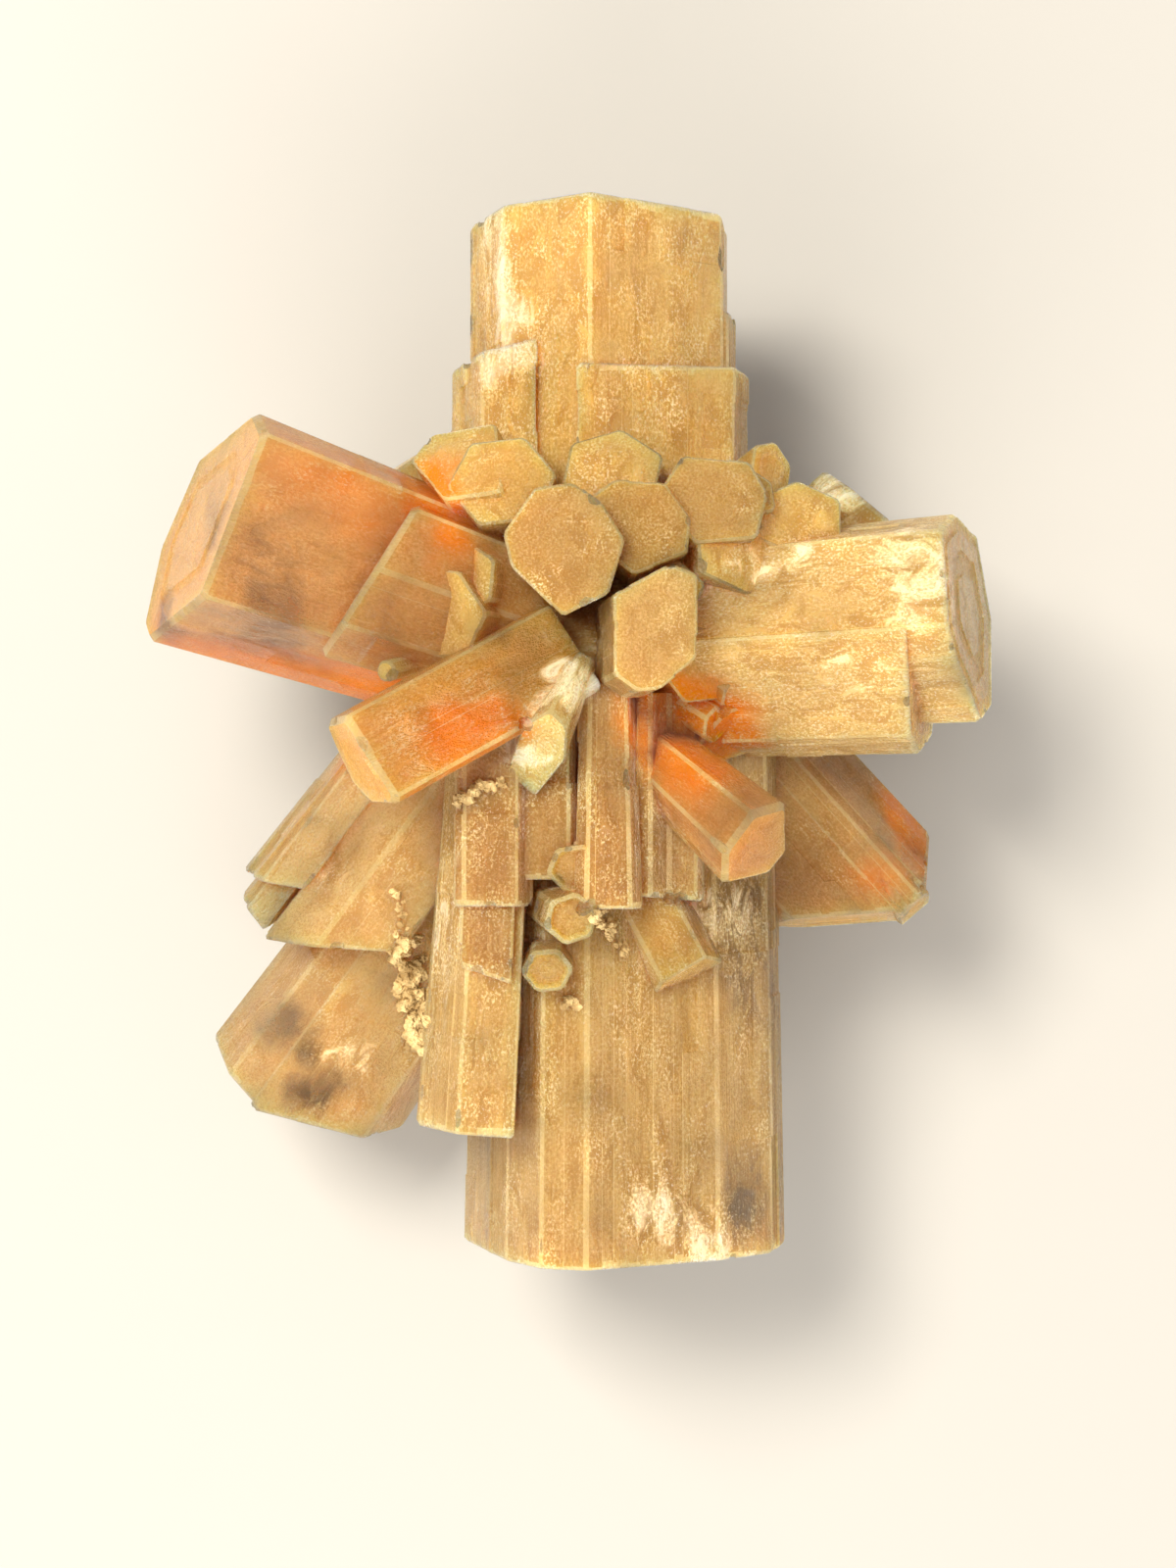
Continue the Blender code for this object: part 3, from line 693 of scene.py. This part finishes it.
class Sheet:
    """A material's nodes."""

    def __init__(self, name):
        self.material = bpy.data.materials.new(name)
        self.material.use_nodes = True
        self.tree = self.material.node_tree
        self.tree.nodes.clear()

    def node(self, kind, settings=None, inputs=None, output=0):
        """Adds a node: its settings first, then its inputs, each a number, a colour or a Wire."""
        node = self.tree.nodes.new(kind)
        for setting, value in (settings or {}).items():
            setattr(node, setting, value)
        for key, value in (inputs or {}).items():
            if isinstance(value, Wire):
                self.tree.links.new(value.socket, node.inputs[key])
            else:
                node.inputs[key].default_value = value
        return Wire(self, node.outputs[output]) if node.outputs else None

    def math(self, operation, a, b, clamp=False):
        return self.node("ShaderNodeMath", {"operation": operation, "use_clamp": clamp}, {0: a, 1: b})

    def attribute(self, name, output):
        return self.node("ShaderNodeAttribute", {"attribute_name": name}, output=output)

    def stretched(self, a, factors):
        return self.node("ShaderNodeVectorMath", {"operation": "MULTIPLY"}, {0: a, 1: factors})

    def split(self, a):
        """The three parts of a vector."""
        first = self.node("ShaderNodeSeparateXYZ", inputs={0: a})
        return [Wire(self, output) for output in first.socket.node.outputs]

    def noise(self, where, scale, detail, roughness=0.5, warp=0.0):
        return self.node("ShaderNodeTexNoise", {"noise_dimensions": "2D"}, {
            "Vector": where, "Scale": scale, "Detail": detail, "Roughness": roughness, "Distortion": warp,
        })

    def mix(self, factor, a, b, mode="MIX"):
        settings = {"data_type": "RGBA", "blend_type": mode, "clamp_factor": True}
        return self.node("ShaderNodeMix", settings, {0: factor, 6: a, 7: b}, output=2)


# Places in mm from the core. A patch is a band from start to end, radius wide, fading out over edge.
Patch = namedtuple("Patch", "start end radius edge strength", defaults=(1.0,))
ORANGE_STAINS = (
    Patch((-8.1, 7.0, 6.8), (-7.1, 4.8, 7.2), 1.1, 1.1, 1.3),
    Patch((-18.6, -1.2, 2.6), (-11.0, -3.4, 1.2), 2.0, 2.6, 1.3),
    Patch((-12.6, 7.6, 9.8), (-10.5, 5.5, 8.0), 0.6, 2.6, 0.5),
    Patch((-6.6, -5.2, 11.0), (-4.2, -5.0, 10.5), 0.8, 1.6, 1.2),
    Patch((-8.8, -7.0, 11.0), (-6.8, -6.6, 11.4), 0.4, 1.0),
    Patch((3.4, -4.4, 6.4), (6.2, -7.6, 7.4), 0.9, 1.8, 1.3),
    Patch((3.2, -3.2, 5.4), (6.4, -5.4, 5.8), 1.4, 1.8, 1.4),
    Patch((16.5, -8.8, -2.4), (17.4, -11.5, -1.0), 0.6, 1.2, 1.3),
    Patch((14.6, -12.4, 0.5), (15.6, -11.4, 0.5), 0.4, 1.2, 0.7),
)
RUST_STAINS = (
    Patch((1.8, -3.4, 5.5), (3.6, -5.6, 5.6), 0.7, 1.6),
    Patch((1.9, -5.6, 7.0), (3.3, -10.6, 8.0), 0.1, 0.7, 0.6),
    Patch((-4.6, -6.6, 8.4), (-7.2, -8.0, 8.0), 0.3, 1.0, 0.7),
    Patch((-0.6, 1.6, 5.0), (-0.4, -1.4, 5.0), 0.5, 1.2, 0.6),
    Patch((-9.6, -17.0, 0.0), (-9.0, -21.4, 0.5), 0.3, 1.0, 0.8),
)
FROSTED = (
    Patch((15.2, 5.0, 9.8), (16.6, 1.6, 9.6), 1.0, 2.4),
    Patch((6.0, 3.0, 7.5), (10.5, 3.6, 8.2), 0.6, 1.2, 0.8),
    Patch((-5.8, 20.5, 3.6), (-4.4, 14.0, 4.6), 1.2, 1.6, 1.1),
    Patch((3.2, -28.6, 4.2), (6.4, -31.0, 3.4), 0.6, 2.4),
    Patch((-13.4, -20.9, -2.0), (-12.0, -21.6, -2.0), 0.3, 1.2),
    Patch((-1.2, -3.0, 9.1), (-2.4, -5.2, 8.2), 1.2, 0.9, 1.2),
    Patch((2.6, -14.6, 3.5), (8.0, -14.0, 2.6), 1.0, 1.8, 0.8),
    Patch((-8.6, -12.8, 4.5), (-5.2, -16.4, 4.0), 1.2, 2.0, 0.7),
    Patch((11.6, 6.8, 2.1), (13.0, 7.4, 2.1), 1.2, 1.8),
    Patch((10.0, -2.6, 8.0), (14.0, -2.0, 8.6), 1.0, 2.4, 0.55),
    Patch((-10.4, -6.4, 11.6), (-9.0, -5.0, 11.8), 0.6, 1.4, 0.6),
    Patch((-13.2, -11.6, 1.9), (-11.8, -12.4, 1.9), 0.2, 0.8),
)
SMOKE = (
    Patch((-16.6, 4.4, 8.4), (-15.4, 1.4, 7.6), 0.9, 1.8, 0.9),
    Patch((-20.4, 0.9, 4.9), (-15.4, -1.0, 5.2), 0.8, 0.9),
    Patch((-14.3, -23.4, -2.4), (-13.4, -23.2, -2.4), 0.5, 1.2),
    Patch((-15.4, -19.9, -2.2), (-14.6, -20.6, -2.2), 0.4, 1.4),
    Patch((7.9, -27.6, 2.0), (7.9, -29.6, 2.0), 0.5, 1.2),
    Patch((7.6, -12.6, 2.0), (8.8, -17.6, 2.0), 0.9, 2.4, 0.6),
)

# Colours of the marks in the stone, with painted highlights, glints and shade among them.
# PALE is also the painted highlight on ridges and rims
PALE = (0.95, 0.72, 0.34, 1)
# WHITE is also the colour of the painted glints
WHITE = (0.97, 0.88, 0.66, 1)
ORANGE = (0.80, 0.215, 0.0, 1)
# Rust, also painted into the crevices as shade
RUST_AND_CREVICE_SHADE = (0.26, 0.07, 0.015, 1)
SMOKE_GREY = (0.20, 0.125, 0.06, 1)
DEEPER = (0.70, 0.62, 0.50, 1)      # tint of the deep grain and of the painted shade along the furrows, over the stone's own colour

RAGGED = 0.9        # mm by which the edges of patches wander,
WANDER = 0.6        # and how many times per mm
CLOUDS = 3.5        # mm from one cloudy place to the next
PATCHES = 1.6       # mm from one patch of etching to the next
SWING = 0.6         # how far such waves go
CREVICE = 2.0 * MM  # a way out of the stone is blocked by stone this near
SKIN_LIFT = 0.05    # mm above the skin where the ways out start
CREVICE_SHADE_FROM = 0.55        # painted shade in crevices starts where more than this share of them is blocked
FAR = Vector((40, 0, 0))    # mm between two places whose waves have nothing to do with each other


def patch_share(place, spots):
    """How much of these patches there is at a place, from 0 to 1."""
    most = 0.0
    for spot in spots:
        start = Vector(spot.start)
        along = Vector(spot.end) - start
        share = min(max((place - start).dot(along) / along.length_squared, 0.0), 1.0)
        fade = min(max(((place - start - along * share).length - spot.radius) / spot.edge, 0.0), 1.0)
        most = max(most, spot.strength * (1 - fade * fade * (3 - 2 * fade)))
    return most


def write_points(mesh, name, kind, field, values):
    """Adds an attribute with a value at each vertex."""
    mesh.attributes.new(name, kind, "POINT").data.foreach_set(field, values)


def swell(place, size, octaves):
    """A slow change through the stone, around 0.5; size is the width of its waves in mm."""
    return 0.5 + SWING * noise.fractal(place / size, 0.8, 2, octaves)


# Ways out of the stone, where +Z is straight out.
WAYS_OUT = tuple(Vector(way).normalized() for way in (
    (0, 0, 1),
    (1, 0, 0.6), (-1, 0, 0.6), (0, 1, 0.6), (0, -1, 0.6),
    (1, 1, 0.3), (-1, 1, 0.3), (1, -1, 0.3), (-1, -1, 0.3),
))


def hemmed_in(mesh):
    """For each vertex, the share of the ways out of the stone that are blocked within CREVICE."""
    places = [vertex.co for vertex in mesh.vertices]
    tree = BVHTree.FromPolygons(places, [tuple(face.vertices) for face in mesh.polygons])
    for vertex in mesh.vertices:
        turn = Vector((0, 0, 1)).rotation_difference(vertex.normal)
        start = vertex.co + vertex.normal * SKIN_LIFT * MM
        blocked = [tree.ray_cast(start, turn @ way, CREVICE)[0] is not None for way in WAYS_OUT]
        yield sum(blocked) / len(blocked)


def stain_and_shade(mesh):
    """Writes what changes slowly through the stone at each vertex.

    stains and crevice shade: orange, rust with painted shade in the crevices, and smoke; haze: frosting,
    clouds and patches of etching.
    """
    places = [(vertex.co - CORE) / MM for vertex in mesh.vertices]
    ragged = [place + noise.noise_vector(place * WANDER) * RAGGED for place in places]
    stains = []
    for place, hemmed in zip(ragged, hemmed_in(mesh)):
        # Painted shade: the more ways out are blocked, the darker the crevice, in the rust colour
        crevice_shade = max(0, hemmed - CREVICE_SHADE_FROM)
        stains.append(patch_share(place, ORANGE_STAINS))
        stains.append(patch_share(place, RUST_STAINS) + crevice_shade)
        stains.append(patch_share(place, SMOKE))
    haze = []
    for plain, place in zip(places, ragged):
        haze.append(patch_share(place, FROSTED))
        haze.append(swell(plain, CLOUDS, 3))
        haze.append(swell(plain + FAR, PATCHES, 2))
    write_points(mesh, "stains", "FLOAT_VECTOR", "vector", stains)
    write_points(mesh, "haze", "FLOAT_VECTOR", "vector", haze)


# How the stone takes light.
IOR = 1.55
SCATTER_DEPTH = 0.004               # how far red light spreads inside cloudy stone, in metres,
SCATTER_SHARES = (1.0, 0.7, 0.35)   # and red, green and blue as shares of that
TINTED = 0.85                       # share of the stone's colour in the tint of clear stone
THICK_STONE = (1.0, 0.80, 0.38, 1)  # colour that clear stone takes on where it is thick,
ABSORPTION = 50.0                   # and how soon, per metre
RELIEF_HEIGHT = 0.0022              # of the etched skin, in metres
POLISH = 0.08                       # roughness of bare stone

# Grain of the skin: how many times per mm it changes, round and along a crystal.
RELIEF_GRAIN = (1.1, 0.75, 1)
LINE_GRAIN = (3.2, 0.16, 1)
SAND_GRAIN = 8.0
RIDGE_LEVEL = 0.5                   # of the relief, where painted highlights run along ridges,
FURROW_LEVEL = 0.57                 # and painted shade along furrows,
THINNESS = 14                       # and how thin they are

# How strong each mark is. The pairs are for smooth stone, and what etching adds.
BITE = (0.28, 0.72)
# painted highlight along ridges and painted shade along furrows
RIDGE_HIGHLIGHT_MARKS = (0.15, 0.75)
FURROW_SHADE_MARKS = (0.15, 0.7)
# painted glints
GLINT_MARKS = (0.08, 0.6)
WHITE_MARK = 0.75
# painted highlight on the rims
RIM_HIGHLIGHT = 0.5
LINE_MARK = 0.6
SMOKE_MARK = 0.7

# How light the stone's tone is, and what each thing adds to that.
BASE_TONE = 0.15
CLOUD_TONE = 0.7
RELIEF_TONE = 5
LINE_TONE = 5
SAND_TONE = 1.8

# How clear the stone is, and how much each thing clears or clouds it.
BASE_CLARITY = 0.14
CLOUD_CLEARS = 0.5
SMOKE_CLEARS = 0.3
ORANGE_CLOUDS = 0.22
ETCHING_CLOUDS = 0.1
WHITE_CLOUDS = 0.6
RUST_AND_CREVICE_SHADE_CLOUDS = 0.5
END_CLOUDS = 0.8


def aragonite():
    """Honey stone: clear inside where it isn't etched or stained, cloudy elsewhere."""
    sheet = Sheet("honey_aragonite")
    skin = sheet.attribute("skin", VECTOR)
    stone = sheet.attribute("stone", COLOUR)
    striped = sheet.attribute("stone", ALPHA)
    part, frost, clear = sheet.split(sheet.attribute("traits", VECTOR))
    orange, rust_and_crevice_shade, smoke = sheet.split(sheet.attribute("stains", VECTOR))
    frosted, cloud, patchy = sheet.split(sheet.attribute("haze", VECTOR))
    on_side = 1 - part.step(0.2, 0.4)
    on_rim = 1 - abs(part - RIM).step(0.1, 0.2)
    on_cap = part.step(0.7, 0.9)

    # The grain, each around 0.5.
    relief = sheet.noise(sheet.stretched(skin, RELIEF_GRAIN), 1.0, 5, 0.62, warp=0.6)
    sand = sheet.noise(skin, SAND_GRAIN, 2, 0.7)
    lines = sheet.noise(sheet.stretched(skin, LINE_GRAIN), 1.0, 3, 0.6)

    # What the grain makes of the skin, each from 0 to 1 but for lined, which is around 0.
    grit = sand.step(0.40, 0.60)
    # Painted glints: small white specks standing in for sparkle off the skin
    painted_glints = sand.step(0.60, 0.68)
    # Painted highlight along the relief's ridges, and painted shade along its furrows
    highlighted_ridges = (1 - abs(relief - RIDGE_LEVEL) * THINNESS).clamped() * grit
    shaded_furrows = (1 - abs(relief - FURROW_LEVEL) * THINNESS).clamped() * (1 - grit)
    lined = (lines - 0.5) * striped * on_side
    etched = (patchy + frost * 0.9 + frosted * 0.6).step(0.6, 1.3)
    white = (frosted * 1.1 + patchy * 0.5 + relief * 2 - 1.9).step(0.0, 0.9)
    low = (0.62 - relief).clamped() * 3

    def marked(smooth, added):
        """How strong a mark is: on smooth stone, and what etching adds to that."""
        return smooth + etched * added

    # The stone's own colour, then one mark over the other, with painted highlights, glints and shade among
    # them.
    bite = marked(*BITE)
    deep = sheet.mix(1.0, stone, DEEPER, "MULTIPLY")
    tone = (cloud.step(0.25, 0.75) * CLOUD_TONE + (relief - 0.5) * bite * RELIEF_TONE + lined * LINE_TONE
            + (sand - 0.5) * SAND_TONE + BASE_TONE)
    # pale: painted highlights on the relief's ridges and on the rims, and the pale lines along the crystal
    pale = highlighted_ridges * marked(*RIDGE_HIGHLIGHT_MARKS) + on_rim * RIM_HIGHLIGHT + lined.step(0.07, 0.12) * LINE_MARK
    colour = sheet.mix(tone, deep, stone)
    colour = sheet.mix(smoke * (patchy + low) * SMOKE_MARK, colour, SMOKE_GREY)
    colour = sheet.mix(orange * (0.7 + patchy * 0.6), colour, ORANGE)
    colour = sheet.mix(pale, colour, PALE)
    colour = sheet.mix(white * WHITE_MARK, colour, WHITE)
    # painted glints
    colour = sheet.mix(painted_glints * marked(*GLINT_MARKS), colour, WHITE)
    # painted shade along the furrows
    colour = sheet.mix(shaded_furrows * marked(*FURROW_SHADE_MARKS), colour, deep)
    # Rust stains, and painted shade in the crevices between the crystals
    colour = sheet.mix(rust_and_crevice_shade * (0.4 + patchy), colour, RUST_AND_CREVICE_SHADE)

    height = relief * bite + lined * 0.8 + sand * 0.1
    bump = sheet.node("ShaderNodeBump", inputs={
        "Strength": 1.0, "Distance": RELIEF_HEIGHT, "Height": height,
    })
    rough = (POLISH + etched * 0.08 + white * 0.12 + rust_and_crevice_shade * 0.4).clamped()
    tint = sheet.mix(TINTED, (1, 1, 1, 1), colour)

    cloudy = sheet.node("ShaderNodeBsdfPrincipled", inputs={
        "Base Color": colour, "Roughness": rough, "Normal": bump, "IOR": IOR,
        "Subsurface Weight": 1.0, "Subsurface Radius": SCATTER_SHARES, "Subsurface Scale": SCATTER_DEPTH,
    })
    see_through = sheet.node("ShaderNodeBsdfPrincipled", inputs={
        "Base Color": tint, "Roughness": rough, "Normal": bump, "IOR": IOR, "Transmission Weight": 1.0,
    })
    # Smoke clears the stone; stains, etching and frost cloud it, and ends are cloudier than sides.
    clarity = (BASE_CLARITY + clear + (cloud - 0.5) * CLOUD_CLEARS + smoke * SMOKE_CLEARS
               - orange * ORANGE_CLOUDS - etched * ETCHING_CLOUDS - white * WHITE_CLOUDS
               - rust_and_crevice_shade * RUST_AND_CREVICE_SHADE_CLOUDS - on_cap * clear * END_CLOUDS).clamped()
    surface = sheet.node("ShaderNodeMixShader", inputs={0: clarity, 1: cloudy, 2: see_through})
    inside = sheet.node("ShaderNodeVolumeAbsorption", inputs={"Color": THICK_STONE, "Density": ABSORPTION})
    sheet.node("ShaderNodeOutputMaterial", inputs={"Surface": surface, "Volume": inside})
    return sheet.material


# Where clay is caught between the crystals, in mm from the core: crumbs lie about wide away from the line
# from start to end, (x, y), on whatever is under them. size is the radius of the largest.
Clay = namedtuple("Clay", "start end wide count size")
CLAY = (
    Clay((-9.3, -15.8), (-8.8, -20.8), 0.8, 75, 0.5),
    Clay((-9.8, -12.4), (-9.4, -15.5), 0.4, 14, 0.28),
    Clay((-6.7, -8.4), (-3.9, -7.2), 0.4, 28, 0.3),
    Clay((0.3, -13.9), (1.6, -15.4), 0.5, 26, 0.3),
    Clay((-1.2, -18.2), (-0.2, -18.6), 0.25, 9, 0.26),
)


SMALLEST = 0.3      # crumb, as a share of the largest
SCATTER = 0.5       # how far crumbs stray from the line, as a share of wide
ABOVE = 30          # a height in mm from which every crystal is underneath
BULGE = 0.8         # how far the lumps on a crumb stand out, as a share of its size,
LUMPS_ROUND = 1.3   # and how close together they are


def crumb(place, size, shift):
    """A rough lump; place and size in mm."""
    shape = bmesh.new()
    bmesh.ops.create_icosphere(shape, subdivisions=2, radius=1)
    for vert in shape.verts:
        swollen = vert.co * (1 + BULGE * noise.noise(vert.co * LUMPS_ROUND + shift))
        vert.co = CORE + (place + swollen * size) * MM
    mesh = bpy.data.meshes.new("crumb")
    shape.to_mesh(mesh)
    shape.free()
    return bpy.data.objects.new("crumb", mesh)


def clay_crumbs(cluster):
    """The crumbs of clay, fused where they touch."""
    pick = random.Random(5)
    tree = BVHTree.FromObject(cluster, bpy.context.evaluated_depsgraph_get())
    lumps = []
    for clay in CLAY:
        for _ in range(clay.count):
            spot = Vector(clay.start).lerp(Vector(clay.end), pick.random())
            spot += Vector((pick.gauss(0, SCATTER), pick.gauss(0, SCATTER))) * clay.wide
            above = CORE + Vector((*spot, ABOVE)) * MM
            under = tree.ray_cast(above, Vector((0, 0, -1)))[0]
            size = clay.size * pick.uniform(SMALLEST, 1.0)
            lumps.append(crumb((under - CORE) / MM, size, FAR * pick.random()))
    first, *others = lumps
    first.name = "clay_crumbs"
    bpy.context.scene.collection.objects.link(first)
    combine(first, others, "UNION")
    return first


CLAY_BROWN = (0.42, 0.27, 0.10, 1)
CLAY_BUFF = (0.86, 0.64, 0.30, 1)
CLAY_LUMPS = 900.0      # per metre
CLAY_DUST = 4000.0


def clay_paint():
    sheet = Sheet("clay")
    place = sheet.node("ShaderNodeTexCoord", output=OBJECT)
    lumps = sheet.noise(place, CLAY_LUMPS, 3, 0.6)
    dust = sheet.noise(place, CLAY_DUST, 2, 0.6)
    colour = sheet.mix(lumps.step(0.35, 0.65), CLAY_BROWN, CLAY_BUFF)
    height = dust + lumps * 2
    bump = sheet.node("ShaderNodeBump", inputs={"Strength": 1.0, "Distance": 0.3 * MM, "Height": height})
    cloudy = sheet.node("ShaderNodeBsdfPrincipled", inputs={
        "Base Color": colour, "Roughness": 0.45 + dust * 0.4, "Normal": bump,
    })
    sheet.node("ShaderNodeOutputMaterial", inputs={"Surface": cloudy})
    return sheet.material


FLOOR_SIZE = 1.5        # metres from the middle to an edge
FLOOR_PALE = (0.45, 0.44, 0.425, 1)
FLOOR_SHADE = (0.41, 0.40, 0.385, 1)
FLOOR_GRAIN = 300.0     # per metre


def floor_paint():
    sheet = Sheet("pale_floor")
    grain = sheet.noise(sheet.node("ShaderNodeTexCoord", output=OBJECT), FLOOR_GRAIN, 3)
    paint = sheet.node("ShaderNodeBsdfPrincipled", inputs={
        "Base Color": sheet.mix(grain * 0.08, FLOOR_PALE, FLOOR_SHADE), "Roughness": 0.7,
    })
    sheet.node("ShaderNodeOutputMaterial", inputs={"Surface": paint})
    return sheet.material


def linked(name, data, place=(0, 0, 0)):
    made = bpy.data.objects.new(name, data)
    made.location = place
    bpy.context.scene.collection.objects.link(made)
    return made


def floor():
    shape = bmesh.new()
    bmesh.ops.create_grid(shape, x_segments=1, y_segments=1, size=FLOOR_SIZE)
    mesh = bpy.data.meshes.new("floor")
    shape.to_mesh(mesh)
    shape.free()
    mesh.materials.append(floor_paint())
    linked("floor", mesh)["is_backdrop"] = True


def softbox(name, place, size, power, colour):
    """A square light that faces the cluster: place from the core and size in metres, power in watts."""
    light = bpy.data.lights.new(name, "AREA")
    light.shape = "SQUARE"
    light.size = size
    light.energy = power
    light.color = colour
    made = linked(name, light, CORE + Vector(place))
    made.rotation_euler = (-Vector(place)).to_track_quat("-Z", "Y").to_euler()


ROOM_COLOUR = (1.0, 0.96, 0.90, 1)
ROOM_LIGHT = 0.66


def studio():
    softbox("window", (-0.14, 0.12, 0.36), 0.14, 2.3, (1.0, 0.93, 0.80))
    softbox("fill", (-0.04, -0.34, 0.20), 0.3, 1.7, (1.0, 0.94, 0.84))
    world = bpy.data.worlds.new("soft_room")
    world.use_nodes = True
    world.node_tree.nodes["Background"].inputs["Color"].default_value = ROOM_COLOUR
    world.node_tree.nodes["Background"].inputs["Strength"].default_value = ROOM_LIGHT
    bpy.context.scene.world = world


# The camera looks straight down at a point in front of the core.
SEEN = Vector((0, -7.5, 0)) * MM
CAMERA_HEIGHT = 190 * MM
VIEW_LENGTH = 80 * MM       # what the long side of the image shows at the height of the core
SENSOR = 36.0               # width in mm
CLIP_START = 10 * MM


def overhead_camera():
    lens = bpy.data.cameras.new("overhead")
    lens.sensor_width = SENSOR
    lens.lens = SENSOR * CAMERA_HEIGHT / VIEW_LENGTH
    lens.clip_start = CLIP_START
    camera = linked("overhead", lens, CORE + SEEN + Vector((0, 0, CAMERA_HEIGHT)))
    bpy.context.scene.camera = camera


crystals = fused_cluster()
crystals.data.materials.clear()
stain_and_shade(crystals.data)
crystals.data.materials.append(aragonite())
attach(crystals, "root")
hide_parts("aragonite_cluster")
crumbs = clay_crumbs(crystals)
crumbs.data.materials.clear()
crumbs.data.materials.append(clay_paint())
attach(crumbs, "root")
floor()
studio()
overhead_camera()
bpy.context.scene.view_settings.view_transform = "Standard"

box = [[list(corner) for corner in corners] for corners in (SOLID_BOX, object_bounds())]
